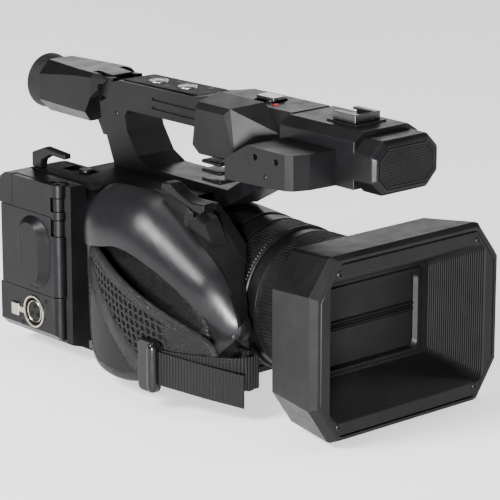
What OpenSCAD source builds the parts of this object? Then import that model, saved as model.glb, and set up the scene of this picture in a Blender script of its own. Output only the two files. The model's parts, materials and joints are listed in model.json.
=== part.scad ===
// Hand-held professional camcorder. The lens looks along -Y, the operator's
// hand grip is on the -X side, +Z is up. The origin lies on the base plane
// under the lens axis, 48 mm ahead of the tripod thread.

/* [Body] */
// Half width of the main case
body_half = 62; // [58:1:64]
// Height of the case sides' flat top
case_top = 118; // [116:1:119]
// Front face of the case, where the lens housing starts
case_front = 18; // [16:1:20]
// Rear end of the case
case_rear = 166; // [164:1:168]
// Height of the lower left shoulder of the case
shoulder_z = 82; // [78:1:84]
// Wall thickness of the case shells
wall = 2.5; // [2.25:0.25:2.75]

/* [Lens] */
// Height of the lens axis above the base
lens_z = 61.5; // [60:0.5:63]
// Radius of the fixed lens tube under the rings
tube_r = 43; // [42:0.5:44]
// Outer radius of the focus ring
focus_r = 47; // [46:0.5:48]
// Outer radius of the zoom ring
zoom_r = 48; // [47:0.5:49]

/* [Hood] */
// Half width of the hood at its widest
hood_half = 80; // [78:0.5:82]
// How far ahead of the origin the hood's front face lies
hood_front = 148; // [146:1:150]
// How far ahead of the origin the hood's rear wall lies
hood_rear = 104; // [103:1:105]
// Opening travel of the upper shutter leaf
shutter_travel = 25; // [20:1:25]

/* [Handle] */
// Half width of the carrying handle
handle_half = 16; // [14:1:18]
// Tilt pivot of the eyepiece, measured back from the origin
evf_pivot_y = 135; // [134:1:136]

/* [Hidden] */
$fn = 64;

gap = 0.4;
lens_back = -12;
run = 0.05;
base_t = 4;
deck_t = 4;
deck_top = case_top + deck_t;
bottom_half = 50;
case_mid = 150;

// Terminal block: the doors lie on its outer face behind a vertical hinge
hinge = [-76.2, 105.5];
face_turn = 90;
face_y = 5;
spine_x = 16;
ridge_x = -34;
rear_top = 98;
case_low = 1;
knuckle_r = 5;
pin_r = 1.5;
block_z = [7, 121];
door_split = 98.5;
door_low = 43.5;
door_t = 3.5;

// Strap: a gently bowed band seen from above
band_mid = [27, 10];
band_r = 120;
band_t = 4;

// Base plate and tripod socket, measured back from the origin
base_front = -6;
base_rear = 150;
tripod_y = 48;

// Eyepiece
evf_z = 164;
evf_pivot_z = 173;
evf_half = 19;
evf_rear = 200;

// ---- helpers ----

// Extrudes a (y, z) side outline between two x planes
module side_plate(x0, x1) {
  translate([x0, 0, 0]) rotate([90, 0, 90]) linear_extrude(x1 - x0) children();
}

// Extrudes an (x, z) front outline from the depth y0 back to y1
module front_plate(y0, y1) {
  translate([0, y1, 0]) rotate([90, 0, 0]) linear_extrude(y1 - y0) children();
}

// Places things made along +Z on the lens axis, pointing forward
module on_lens(ahead) {
  translate([0, -ahead, lens_z]) rotate([90, 0, 0]) children();
}

// Ring on the lens axis between two distances ahead of the origin
module lens_ring(near, far, outer, inner) {
  on_lens(near) difference() {
    cylinder(r = outer, h = far - near, $fn = 96);
    translate([0, 0, -1]) cylinder(r = inner, h = far - near + 2, $fn = 96);
  }
}

// Rectangle with round corners, centred
module round_rect(w, h, r) {
  square([w - 2 * r, h], center = true);
  square([w, h - 2 * r], center = true);
  for (sx = [-1, 1], sy = [-1, 1])
    translate([sx * (w / 2 - r), sy * (h / 2 - r)]) circle(r, $fn = 32);
}

// Rectangle with cut corners between two heights, half width wide
module cut_rect(half, z0, z1, cut_top, cut_low) {
  polygon([
    [-half, z0 + cut_low], [-half + cut_low, z0], [half - cut_low, z0], [half, z0 + cut_low],
    [half, z1 - cut_top], [half - cut_top, z1], [-half + cut_top, z1], [-half, z1 - cut_top]
  ]);
}

// Side outline of the finger opening in the handle
module finger_opening() {
  polygon([
    [4, 126], [84, 126], [96, 132], [107, 148], [109, 158], [106, 162], [-44, 163], [-44, 155]
  ]);
}

// Places children on the door face: +X runs back along the face, +Y is outward
module on_block() {
  translate([hinge[0], hinge[1], 0]) rotate([0, 0, face_turn]) children();
}

// Right half of the case seen from the front, grown inward
module right_half(shrink) {
  h = body_half - shrink;
  polygon([
    [0, case_low + shrink], [-bottom_half, case_low + shrink],
    [-h, 13 + shrink / 2], [-h, case_top - 10], [-h + 8, case_top - shrink], [0, case_top - shrink]
  ]);
}

// Left half of the case with its sloping shoulder, grown inward
module left_half(shrink) {
  h = body_half - shrink;
  polygon([
    [0, case_low + shrink], [bottom_half, case_low + shrink],
    [h, 13 + shrink / 2], [h, shoulder_z - shrink / 2], [spine_x, case_top - 8 - shrink],
    [0, case_top - 8 - shrink]
  ]);
}

// Everything above the rear slope, left of the ridge
module above_rear_slope() {
  side_plate(ridge_x, 90) polygon([
    [125, case_top], [155, rear_top], [210, rear_top], [210, 150], [125, 150]
  ]);
}

// Everything above the rounded rear end of the ridge
module above_rear_corner() {
  side_plate(-120, ridge_x + 1) polygon([
    [150, deck_top + 0.1], [158, 120.5], [163.5, 117], [167, 108], [210, 108], [210, 150], [150, 150]
  ]);
}

// ---- base ----

module base_plate() {
  color([0.09, 0.09, 0.1]) difference() {
    translate([0, (base_front + base_rear) / 2, 0]) linear_extrude(base_t)
      round_rect(2 * bottom_half, base_rear - base_front, 8);
    translate([0, tripod_y, -1]) cylinder(r = 12, h = base_t + 2);
    translate([0, tripod_y - 20, -1]) cylinder(r = 2.5, h = base_t + 2);
    for (x = [-38, 38], y = [20, 130]) translate([x, y, -1]) cylinder(r = 3, h = 2.2);
  }
}

module tripod_insert() {
  color([0.6, 0.6, 0.62]) translate([0, tripod_y, 0]) difference() {
    union() {
      cylinder(r = 12, h = base_t);
      translate([0, 0, base_t]) cylinder(r = 16, h = 7);
    }
    translate([0, 0, -1]) cylinder(r = 3.175, h = 10);
  }
}

module inner_frame() {
  color([0.35, 0.36, 0.38]) difference() {
    union() {
      translate([-34, 31, base_t]) cube([68, 115, 2]);
      for (x = [-34, 32]) translate([x, 31, base_t]) cube([2, 115, 78]);
      translate([-34, 144, base_t]) cube([68, 2, 78]);
    }
    translate([0, tripod_y, 0]) cylinder(r = 16.5, h = 20);
    for (y = [40, 90]) translate([-40, y, 40]) rotate([0, 90, 0]) cylinder(r = 14, h = 80);
  }
}

// ---- case shells ----

module left_case() {
  color([0.07, 0.07, 0.08]) difference() {
    front_plate(case_front + 12, case_mid) difference() {
      left_half(0);
      translate([-0.01, 0]) left_half(wall);
      translate([-1, -10]) square([bottom_half + 1, base_t + 10]);
    }
    above_rear_slope();
    translate([body_half - 3, 118, 60]) rotate([0, 90, 0]) cylinder(r = 9, h = 5);
    translate([body_half - 1.2, 44, 50]) cube([5, 22, 8]);
    translate([body_half - 5, 50, 52.2]) cube([8, 10, 3.6]);
  }
}

module right_case() {
  color([0.05, 0.05, 0.055]) difference() {
    union() {
      front_plate(case_front + 12, case_mid) difference() {
        right_half(0);
        translate([0.01, 0]) right_half(wall);
        translate([-bottom_half, -10]) square([bottom_half + 1, base_t + 10]);
      }
      side_plate(ridge_x - wall, ridge_x)
        polygon([[122, 116], [122, 117], [case_mid, 117], [case_mid, rear_top], [124, 114]]);
    }
    above_rear_slope();
    translate([-70, 79, 92]) cube([20, 5, 8]);
  }
}

module front_case() {
  color([0.04, 0.04, 0.045]) difference() {
    union() {
      front_plate(case_front, case_front + 12) difference() {
        union() {
          left_half(0);
          right_half(0);
        }
        translate([-bottom_half, -10]) square([2 * bottom_half, base_t + 10]);
      }
      // round lens housing
      on_lens(-case_front) cylinder(r1 = 51.5, r2 = 49.5, h = case_front - lens_back, $fn = 96);
    }
    on_lens(-40) cylinder(r = tube_r, h = 90, $fn = 96);
  }
}

module rear_case() {
  color([0.05, 0.05, 0.055]) {
    difference() {
      front_plate(case_mid, case_rear) {
        left_half(0);
        right_half(0);
      }
      front_plate(case_mid - 1, case_rear - wall) {
        left_half(wall);
        right_half(wall);
      }
      above_rear_slope();
      above_rear_corner();
      translate([-29, case_rear - 9, 22]) cube([58, 20, 130]);
      translate([33, case_rear - 4, 24]) cube([24, 10, 60]);
      translate([0, case_rear + 1, 14]) rotate([90, 0, 0]) cylinder(r = 4, h = 6);
    }
    // battery bay
    translate([-31, case_rear - 11, 20]) difference() {
      cube([62, 8.5, rear_top - 20]);
      translate([2, 2, 2]) cube([58, 20, 130]);
    }
    // inner wall of the ridge
    side_plate(ridge_x - wall, ridge_x) polygon([
      [case_mid, rear_top - 2], [case_mid, 116], [160, 116], [164, 110], [164, rear_top - 2]
    ]);
  }
}

module top_deck() {
  color([0.055, 0.055, 0.06]) difference() {
    union() {
      difference() {
        translate([0, 0, case_top]) linear_extrude(deck_t) polygon([
          [-body_half, case_rear], [-body_half, 86], [-54, 84], [-54, 30], [-34, case_front],
          [spine_x, case_front], [spine_x, 127], [ridge_x, 127], [ridge_x, case_rear]
        ]);
        above_rear_corner();
      }
      // skirt that meets the lower left shoulder
      translate([0, case_front, case_top - 8]) cube([spine_x, 122 - case_front, 8]);
      // rear slope
      intersection() {
        side_plate(ridge_x, 36) polygon([
          [122, case_top], [122, deck_top], [127, deck_top], [157, rear_top + 3.5],
          [case_rear, rear_top + 3.5], [case_rear, rear_top], [155, rear_top], [125, case_top]
        ]);
        front_plate(100, 200) polygon([
          [ridge_x, 90], [ridge_x, 130], [spine_x, 130], [spine_x, 113.5], [36, 101.3], [36, 90]
        ]);
      }
    }
    translate([-49, 110, deck_top - 2]) cube([12, 26, 4]);
    translate([-43, 118, deck_top - 3.6]) cylinder(r = 5, h = 3);
    translate([ridge_x - 4, 132, deck_top - 1]) cube([1.2, 30, 4]);
    translate([-31, case_rear - 11, 90]) cube([62, 20, 60]);
  }
}

module main_board() {
  color([0.05, 0.25, 0.12]) translate([0, 0, 20]) {
    translate([-30, 40, 0]) cube([2, 100, 60]);
    for (y = [52, 84, 112]) translate([-28, y, 12]) cube([3, 18, 18]);
  }
}

module sensor_board() {
  color([0.05, 0.2, 0.3]) translate([0, 20, lens_z]) {
    translate([-20, 5, -16]) cube([40, 2, 32]);
    translate([-9, 2, -7]) cube([18, 3, 14]);
  }
}

// ---- grip ----

// One ball of the grip's rounded volume
module ball(p, r) {
  translate(p) sphere(r, $fn = 32);
}

// Rounded volume of the palm swell, smaller by the given skin
module palm_swell(skin) {
  hull() {
    ball([-52, 58, 97], 30 - skin);
    ball([-52, 28, 97], 31 - skin);
    ball([-56, 50, 62], 27 - skin);
    ball([-54, -28, 72], 21 - skin);
    ball([-54, -50, 55], 11 - skin);
    ball([-54, 54, 42], 25 - skin);
    ball([-54, -14, 38], 19 - skin);
  }
}

// Side outline below the crease that separates the swell from the hand pad
module pad_outline(grow) {
  polygon([
    [92, 6], [92, 84], [72, 88 + grow], [50, 91 + grow], [38, 94.5 + grow], [22, 93.5 + grow],
    [4, 86.5 + grow], [-13, 79 + grow], [-28, 70.5 + grow], [-40, 61 + grow], [-45 - grow, 52],
    [-44, 40], [-36, 6]
  ]);
}

module grip_cover() {
  color([0.1, 0.1, 0.11]) difference() {
    palm_swell(0);
    palm_swell(2.5);
    translate([-60, -100, 0]) cube([100, 260, 200]);
    translate([-body_half, case_front, 0]) cube([100, 260, 200]);
    side_plate(-120, -71) pad_outline(0);
    translate([-75, 79, 61]) cube([20, 4, 30]);
    strap_shape(gap);
  }
}

module grip_front_cover() {
  color([0.03, 0.03, 0.035]) difference() {
    union() {
      hull() {
        side_plate(-61.6, -61.5) polygon([
          [32, 122], [8, 117], [-5, 110], [-29, 95], [-49, 78], [-60, 61], [-55, 45], [-46, 30],
          [32, 20]
        ]);
        side_plate(-43, -34) polygon([
          [32, 122], [-8, 123], [-19, 115], [-26, 108], [-42, 95], [-50, 81], [-50, 33],
          [-44, 14], [32, 14]
        ]);
      }
      intersection() {
        palm_swell(0.8);
        translate([-60, -100, 0]) cube([26, 130, 200]);
      }
      // rail that carries the rocker
      hull() {
        side_plate(-61, -60.9) polygon([[34, 118], [34, 127], [-6, 119.3], [-6, 112]]);
        side_plate(-58.5, -46) polygon([
          [30, 118], [30, 128.5], [14, 128.6], [-5, 124.4], [-12, 121], [-12, 110]
        ]);
      }
      hull() {
        side_plate(-60, -59.9) polygon([[-4, 119.6], [-4, 112], [-10, 112], [-9, 117.5]]);
        side_plate(-56, -55.9)
          polygon([[-5, 124.4], [-20.5, 115], [-26, 105.3], [-20, 100], [-5, 100]]);
        side_plate(-47, -46.9)
          polygon([[-5, 124.4], [-22, 119], [-32, 103], [-28, 98], [-5, 98]]);
      }
    }
    difference() {
      palm_swell(0);
      translate([-60, -100, 0]) cube([100, 260, 200]);
    }
    translate([-body_half, case_front, -1]) cube([100, 200, 118.8]);
    translate([-54 - gap, case_front, 100]) cube([100, 200, 60]);
    on_lens(-30) cylinder(r = 52, h = 130, $fn = 96);
    translate([-34, -100, 0]) cube([60, 160, 200]);
    translate([-58.2, -66, 14.7]) cube([5, 22.2, 27.6]);
    // slot for the stem of the rocker
    translate([-57.6, -12.5, 108]) cube([5.2, 10.5, 30]);
  }
}

module grip_pad() {
  color([0.06, 0.06, 0.065]) intersection() {
    side_plate(-73, -71) pad_outline(-1.2);
    translate([-120, -38, 20]) cube([80, 104, 90]);
  }
}

module grip_zoom_rocker() {
  color([0.08, 0.08, 0.09]) {
    side_plate(-62, -51) polygon([
      [16, 132.5], [-3, 127.4], [-22, 122.4], [-26, 125], [-26, 129.5], [-14, 128.8], [-2, 132],
      [8, 137], [15, 137]
    ]);
    side_plate(-57, -53) polygon([[-4.5, 111], [-10, 111], [-10, 127], [-4.5, 128]]);
  }
}

module grip_rec_button() {
  color([0.08, 0.08, 0.09]) translate([-43, 118, deck_top - 1.6]) cylinder(r = 4.6, h = 3.4);
}

module strap_lugs() {
  color([0.03, 0.03, 0.03]) {
    translate([-64.6, 79.4, 62]) cube([2.6, 3.2, 28]);
    for (z = [62, 88]) translate([-68.6, 79.4, z]) cube([4, 3.2, 2]);
    translate([-70.6, 79.4, 62]) cube([2, 3.2, 28]);
    // front loop
    difference() {
      translate([-58, -64, 15]) cube([4.5, 20, 27]);
      translate([-60, -61, 17]) cube([10, 8, 23]);
    }
  }
}

// Bowed band seen from above, between two radii
module band(r_in, r_out, z0, z1) {
  translate([band_mid[0], band_mid[1], z0]) difference() {
    cylinder(r = r_out, h = z1 - z0, $fn = 128);
    translate([0, 0, -1]) cylinder(r = r_in, h = z1 - z0 + 2, $fn = 128);
  }
}

// Volume of the strap pad, grown on every side
module strap_shape(grow) {
  intersection() {
    band(band_r - band_t - grow, band_r + grow, 0, 120);
    side_plate(-100, -60) offset(delta = grow) polygon([
      [66, 12], [77, 62], [76, 80], [68, 87], [56, 89.5], [8, 72], [-40, 53], [-52, 45],
      [-54, 32], [-44, 26], [-20, 24], [0, 14], [24, 12]
    ]);
  }
}

module strap_pad() {
  color([0.05, 0.05, 0.055]) strap_shape(0);
}

module strap_webbing() {
  color([0.04, 0.04, 0.045]) translate([0, 0, 17.4]) linear_extrude(22.2) polygon([
    [-94.4, -3], [-93.2, -22], [-89.6, -32], [-85.2, -42.5], [-77.2, -56], [-65.2, -68.6],
    [-53, -68.6], [-53, -67], [-64.4, -67], [-75.6, -54.8], [-83.4, -41.4], [-87.6, -31.2],
    [-91, -21.6], [-92.5, -8], [-93, -3]
  ]);
}

module strap_buckle() {
  color([0.04, 0.04, 0.045]) translate([-98, -20, 11]) difference() {
    side_plate(0, 5.6) translate([8.5, 17]) round_rect(17, 34, 4);
    translate([3, -1, 5.9]) cube([4, 19, 23.2]);
  }
}

// ---- terminal block ----

// Plan of the block in the door face's own axes
module block_outline() {
  polygon([
    [3, face_y], [100, face_y], [100, -40], [-13.5, -40], [-12.5, -12], [-12.5, -0.6], [-7, 0.2],
    [-5, -2.5]
  ]);
}

module terminal_block() {
  color([0.06, 0.06, 0.065]) difference() {
    union() {
      on_block() translate([0, 0, block_z[0]])
        linear_extrude(block_z[1] - block_z[0]) block_outline();
      for (z = [[103, 112], [86, 97], [14, 43.3]])
        translate([hinge[0], hinge[1], z[0]]) cylinder(r = knuckle_r, h = z[1] - z[0]);
    }
    translate([-body_half, 0, 0]) cube([200, 300, 200]);
    translate([-150, case_rear - 1, 0]) cube([200, 100, 200]);
    above_rear_corner();
    // pockets for the doors and their knuckles
    on_block() {
      translate([-1, face_y - door_t - gap, door_low - gap])
        cube([100, 12, door_split - door_low + 2 * gap]);
      translate([-1, face_y - door_t - gap, door_split]) cube([45.4, 12, 40]);
      translate([10, -8, 48]) cube([44, 12, 44]);
      translate([10, -6, 102]) cube([30, 12, 15]);
    }
    for (z = [[112, 130], [97, 103], [43.7, 86]])
      translate([hinge[0], hinge[1], z[0] - gap / 2])
        cylinder(r = 8, h = z[1] - z[0] + gap);
    translate([hinge[0], hinge[1], 0]) cylinder(r = pin_r, h = 130);
    // sloped underside
    front_plate(60, 220) polygon([[-100, 0], [-60, 0], [-60, 7], [-76, 12], [-82, 18], [-100, 18]]);
    // input socket and its release tab
    on_block() {
      translate([22.5, face_y + 1, 29]) rotate([90, 0, 0]) cylinder(r = 11.5, h = 13);
      translate([37.9, 0, 22.3]) cube([8.8, 8, 9.4]);
    }
  }
}

// Door leaf with its knuckles, in the door face's own axes
module door_leaf(z0, z1, reach, knuckles, clear) {
  difference() {
    union() {
      translate([0, face_y - door_t, z0]) cube([reach, door_t, z1 - z0]);
      for (k = knuckles) translate([0, 0, k[0]]) cylinder(r = knuckle_r, h = k[1] - k[0]);
    }
    translate([0, 0, clear[0]]) cylinder(r = knuckle_r + gap, h = clear[1] - clear[0]);
    cylinder(r = pin_r + run, h = 140);
  }
}

module terminal_door_upper() {
  color([0.11, 0.11, 0.12]) on_block()
    door_leaf(door_split + gap, 120.6, 44, [[97.4, 102.6], [112.4, 120.6]], [102.6, 112.4]);
}

module terminal_door_lower() {
  color([0.06, 0.06, 0.065]) on_block() {
    door_leaf(door_low, door_split, 57.5, [[44, 85.6]], [85.6, 99]);
    translate([21.5, face_y - 0.5, 71]) rotate([-90, 0, 0]) hull() {
      linear_extrude(0.7) round_rect(35, 50, 17.4);
      linear_extrude(5.5) round_rect(21, 42, 10.4);
    }
  }
}

module door_hinge_pin() {
  color([0.5, 0.5, 0.52]) translate([hinge[0], hinge[1], 14]) cylinder(r = pin_r, h = 104);
}

module sockets() {
  color([0.75, 0.72, 0.65]) {
    on_block() translate([22.5, face_y + 0.8, 29]) rotate([90, 0, 0]) {
      difference() {
        cylinder(r = 11.4, h = 12);
        translate([0, 0, -1]) cylinder(r = 9.4, h = 9);
      }
      difference() {
        translate([0, 0, 1.4]) cylinder(r = 7.4, h = 8);
        for (a = [90, 210, 330]) rotate([0, 0, a]) translate([3.8, 0, 0]) cylinder(r = 1.2, h = 7);
      }
    }
    on_block() {
      for (z = [60, 80]) translate([20, -3, z]) rotate([90, 0, 0]) cylinder(r = 4.8, h = 5);
      translate([15, -8, 48]) cube([12, 4, 4.5]);
    }
  }
}

module xlr_release_tab() {
  color([0.6, 0.58, 0.52]) on_block() translate([38.3, 1.2, 22.7]) cube([8, 5.4, 8.6]);
}

// ---- rear ----

module battery_pack() {
  color([0.05, 0.05, 0.055]) translate([-27, case_rear - 8.4, 25]) difference() {
    cube([54, 32, 74]);
    translate([6, 28, 30]) cube([42, 6, 3]);
    for (x = [-1, 49]) translate([x, 30, -1]) rotate([0, 0, 0]) cube([6, 4, 90]);
  }
}

module battery_release() {
  color([0.2, 0.2, 0.22]) translate([0, case_rear + 1.6, 14]) rotate([90, 0, 0])
    cylinder(r = 3.6, h = 6);
}

module card_door() {
  color([0.05, 0.05, 0.055]) translate([33.4, case_rear - 3.4, 24.4]) difference() {
    cube([23.2, 3.4, 59.2]);
    translate([3, 2.4, 24]) cube([2, 4, 12]);
  }
}

module menu_dial() {
  color([0.12, 0.12, 0.13]) translate([body_half - 2.6, 118, 60]) rotate([0, 90, 0]) {
    cylinder(r = 8.5, h = 4.6);
    cylinder(r = 5, h = 6);
  }
}

module nd_switch() {
  color([0.3, 0.3, 0.32]) translate([body_half - 4, 53, 52.6]) {
    cube([5.5, 4, 2.8]);
    translate([3.2, -0.4, -1]) cube([3, 4.8, 4.8]);
  }
}

// ---- handle ----

module handle_side() {
  difference() {
    polygon([
      [121, deck_top], [135, 155], [136, 163], [130, 166], [125, 178], [115, 181], [40, 182],
      [28, 184], [14, 187], [-58, 187.5], [-58, 150], [case_front, 107.5], [case_front, deck_top]
    ]);
    finger_opening();
  }
}

module handle_frame() {
  color([0.06, 0.06, 0.065]) difference() {
    side_plate(-handle_half, handle_half) handle_side();
    for (s = [-1, 1], z = [168, 174]) translate([s * handle_half, 45, z])
      cube([2.4, 70, 2], center = true);
    translate([-13, 34, 178.6]) cube([26, 80, 12]);
    translate([0, -20, 181]) cylinder(r = 11, h = 12);
    translate([0, evf_pivot_y, evf_pivot_z]) rotate([0, 90, 0])
      cylinder(r = 8.6, h = 80, center = true);
    on_lens(-20) cylinder(r = 52.3, h = 110, $fn = 96);
  }
}

module handle_top_cover() {
  color([0.05, 0.05, 0.055]) difference() {
    side_plate(-13, 13) polygon([[114, 178.6], [114, 181.6], [38, 183.2], [34, 182.4], [34, 178.6]]);
    for (y = [92, 62]) translate([0, y, 170]) cylinder(r = 7.4, h = 24);
  }
}

module handle_rec_button() {
  color([0.5, 0.1, 0.08]) translate([0, 92, 179.6]) cylinder(r = 7, h = 3.2);
}

module handle_user_button() {
  color([0.5, 0.5, 0.52]) translate([0, 62, 179.6]) cylinder(r = 7, h = 4);
}

module handle_zoom_rocker() {
  color([0.6, 0.6, 0.62]) translate([0, -20, 182.2]) {
    cylinder(r = 3, h = 6);
    translate([-5, -8, 6]) cube([10, 16, 2]);
  }
}

module handle_front() {
  color([0.05, 0.05, 0.055]) difference() {
    union() {
      front_plate(-125, -58) polygon([
        [-27, 152], [27, 152], [27, 182], [19, 187], [-19, 187], [-27, 182]
      ]);
      translate([-13, -112, 187]) cube([26, 26, 1]);
    }
    translate([-23.4, -119.4, 157.6]) cube([80, 58.8, 12.8]);
    translate([-23.4, -121, 173]) cube([47, 60, 7]);
  }
}

module cold_shoe() {
  color([0.6, 0.6, 0.62]) translate([0, -99, 188]) difference() {
    translate([-10.7, -10, 0]) cube([21.4, 20, 5.4]);
    translate([-9.3, -9, 1.5]) cube([18.6, 21, 2.2]);
    translate([-6.2, -9, 1.5]) cube([12.4, 21, 6]);
  }
}

module mic_housing() {
  color([0.04, 0.04, 0.045]) difference() {
    union() {
      front_plate(-141, -125) cut_rect(28, 150, 184, 9, 9);
      hull() {
        front_plate(-141.1, -141) cut_rect(28, 150, 184, 9, 9);
        front_plate(-144, -143.9) cut_rect(25.3, 152.5, 181.5, 8, 8);
      }
    }
    front_plate(-146, -128) cut_rect(23.4, 154.6, 179.4, 7, 7);
  }
}

module mic_grille() {
  color([0.02, 0.02, 0.02]) {
    front_plate(-143.4, -142.2) cut_rect(23.4, 154.6, 179.4, 7, 7);
    for (x = [-11, 11]) translate([x, -129, 167]) rotate([90, 0, 0]) cylinder(r = 6, h = 12);
    translate([-18, -129, 166]) cube([36, 1, 2]);
  }
}

module xlr_block() {
  color([0.12, 0.12, 0.13]) difference() {
    hull() {
      side_plate(-40, -39.9) polygon([[7, 183], [-20, 183], [-31, 156], [4, 154], [10.5, 159]]);
      side_plate(-37, -36.9)
        polygon([[8, 187], [-23, 187], [-33, 153.5], [5, 153.5], [11, 159]]);
      side_plate(-handle_half - 0.1, -handle_half)
        polygon([[12, 190], [-32, 190], [-51, 171], [-51, 156], [4, 153.5], [13, 160]]);
    }
    translate([-28, 20, 170]) rotate([90, 0, 0]) cylinder(r = 9.4, h = 16);
  }
  color([0.12, 0.12, 0.13]) translate([-28, 7.4, 170]) rotate([90, 0, 0]) difference() {
    cylinder(r = 7.2, h = 3.4);
    for (a = [90, 210, 330]) rotate([0, 0, a]) translate([3.8, 0, -1]) cylinder(r = 1.2, h = 4);
  }
}

module mic_holder_box() {
  color([0.05, 0.05, 0.055]) difference() {
    union() {
      side_plate(-60, -27)
        polygon([[-99, 152], [-99, 174.5], [-64, 174.5], [-44, 163], [-44, 149.5]]);
      translate([0, 0, 152]) linear_extrude(22.5)
        polygon([[-27, -109], [-47, -107.5], [-57, -103.5], [-60, -99], [-60, -98.9], [-27, -98.9]]);
    }
    for (y = [-72.3, -91.3]) translate([-61, y, 168.6]) rotate([0, 90, 0]) cylinder(r = 2, h = 9);
  }
}

module cable_clamps() {
  color([0.05, 0.05, 0.055]) {
    // comb under the audio block
    for (z = [134, 140, 146]) translate([-33, -8, z]) cube([13, 18, 2.4]);
    translate([-20, -8, 134]) cube([2.4, 10, 19.5]);
    // hook on the ridge of the case
    side_plate(-61, -55) polygon([
      [154, deck_top], [154, 132], [140, 137.5], [118, 136], [118, 132.5], [134, 133], [143, 128],
      [145, deck_top]
    ]);
  }
}

module evf_bracket() {
  color([0.05, 0.05, 0.055]) {
    for (s = [-1, 1]) translate([s * 11 - 2, 0, 0]) side_plate(0, 4)
      polygon([[125.4, 178], [131, 165.4], [139, 167.5], [141, 176], [135, 180], [125.4, 180.5]]);
    translate([-9, evf_pivot_y, evf_pivot_z]) rotate([0, 90, 0]) cylinder(r = 2.5, h = 18);
    side_plate(-8, 8) polygon([[135, 155], [149, 148], [143, 138], [128.2, 138.7]]);
  }
}

// ---- eyepiece ----

module evf_body() {
  color([0.05, 0.05, 0.055]) difference() {
    union() {
      hull() {
        front_plate(evf_rear - 0.1, evf_rear) cut_rect(evf_half, 146, 182, 9, 9);
        front_plate(160, 160.1) cut_rect(evf_half, 146, 182, 4, 8);
      }
      intersection() {
        hull() {
          front_plate(159.9, 160) cut_rect(evf_half, 146, 182, 4, 8);
          front_plate(142, 142.1) cut_rect(evf_half, 146, 182, 3, 8);
          front_plate(130, 130.1) cut_rect(13, 150, 181, 3, 4);
        }
        side_plate(-30, 30) polygon([[131, 190], [131, 178], [143, 165], [156, 140], [170, 140], [170, 190]]);
      }
      translate([0, evf_pivot_y, evf_pivot_z]) rotate([0, 90, 0])
        cylinder(r = 6.5, h = 17, center = true);
    }
    translate([0, 160, evf_z]) rotate([-90, 0, 0]) cylinder(r = 15, h = 60);
    translate([0, evf_pivot_y, evf_pivot_z]) rotate([0, 90, 0])
      cylinder(r = 2.5 + run, h = 60, center = true);
    for (s = [-1, 1]) translate([s * 11 - 2.5, 110, 150]) cube([5, 36, 40]);
    translate([evf_half - 2.8, 184, 153]) cube([8, 12.6, 22]);
  }
}

module evf_eyecup() {
  color([0.03, 0.03, 0.03]) translate([0, evf_rear, evf_z]) rotate([-90, 0, 0]) difference() {
    union() {
      cylinder(r = 18, h = 3);
      translate([0, 0, 3]) cylinder(r1 = 18, r2 = 19.4, h = 11);
    }
    translate([0, 0, -1]) cylinder(r = 12.6, h = 7);
    translate([0, 0, 5]) cylinder(r1 = 12.6, r2 = 17.6, h = 9.1);
  }
}

module evf_optics() {
  color([0.3, 0.35, 0.45]) translate([0, 0, evf_z]) {
    translate([0, 192, 0]) rotate([-90, 0, 0]) cylinder(r = 15, h = 6);
    translate([0, 164, 0]) rotate([-90, 0, 0]) difference() {
      cylinder(r = 15, h = 28);
      translate([0, 0, -1]) cylinder(r = 13, h = 30);
    }
    translate([-8, 161, -6]) cube([16, 2, 12]);
  }
}

module diopter_dial() {
  color([0.1, 0.1, 0.11]) translate([evf_half - 2.4, 190.3, evf_z]) rotate([0, 90, 0])
    cylinder(r = 5.8, h = 4);
}

// ---- left-side monitor ----

module lcd_panel() {
  color([0.04, 0.04, 0.045]) translate([-23, -119, 158]) difference() {
    cube([50, 58, 12]);
    translate([4, 4, -1]) cube([42, 50, 2]);
    translate([48.4, 24, 3]) cube([4, 10, 6]);
  }
}

// ---- hood ----

// Cut-cornered frame of the hood at one depth
module hood_section(half, z0, z1) {
  polygon([
    [-half, z0 + 24], [-half + 16, z0 + 1], [-half + 18, z0], [half - 18, z0],
    [half - 16, z0 + 1], [half, z0 + 24], [half, z1 - 22], [half - 16, z1 - 1],
    [half - 19, z1], [-half + 19, z1], [-half + 16, z1 - 1], [-half, z1 - 22]
  ]);
}

module hood_slab(ahead, half, z0, z1) {
  front_plate(-ahead, -ahead + 0.1) hood_section(half, z0, z1);
}

module hood_shell() {
  color([0.06, 0.06, 0.065]) difference() {
    union() {
      hull() {
        hood_slab(hood_rear + 0.1, hood_half - 6, 5, 116.5);
        hood_slab(hood_front - 5, hood_half, 3, 120.5);
      }
      hull() {
        hood_slab(hood_front - 5, hood_half, 3, 120.5);
        hood_slab(hood_front, hood_half - 3, 5, 118.7);
      }
    }
    hull() {
      hood_slab(hood_rear + 1.9, hood_half - 8, 7, 114.5);
      hood_slab(hood_front + 1, hood_half - 5, 7, 116.7);
    }
    on_lens(hood_rear - 5) cylinder(r = 46.5, h = 20, $fn = 96);
    translate([60, -118, lens_z]) rotate([0, 90, 0]) cylinder(r = 3.05, h = 40);
  }
}

module hood_baffle() {
  color([0.035, 0.035, 0.04]) difference() {
    union() {
      front_plate(-hood_front, -hood_front + 3) hood_section(hood_half - 5.5, 7.5, 116);
      hull() {
        front_plate(-hood_front + 2.9, -hood_front + 3) cut_rect(68, 14.5, 109.5, 6, 6);
        front_plate(-109, -108.9) cut_rect(56, 28, 92, 4, 4);
      }
    }
    hull() {
      front_plate(-hood_front - 0.1, -hood_front) cut_rect(66, 16.5, 107.5, 5, 5);
      front_plate(-110.2, -110.1) cut_rect(53.5, 30, 90, 2, 2);
    }
    translate([0, -112, 61]) rotate([-90, 0, 0]) linear_extrude(10) round_rect(83, 51, 5);
    for (x = [-59.3, 59.3], z = [13.8, 109.8])
      translate([x, -hood_front - 1, z]) rotate([-90, 0, 0]) cylinder(r = 2.3, h = 2);
  }
}

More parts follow.
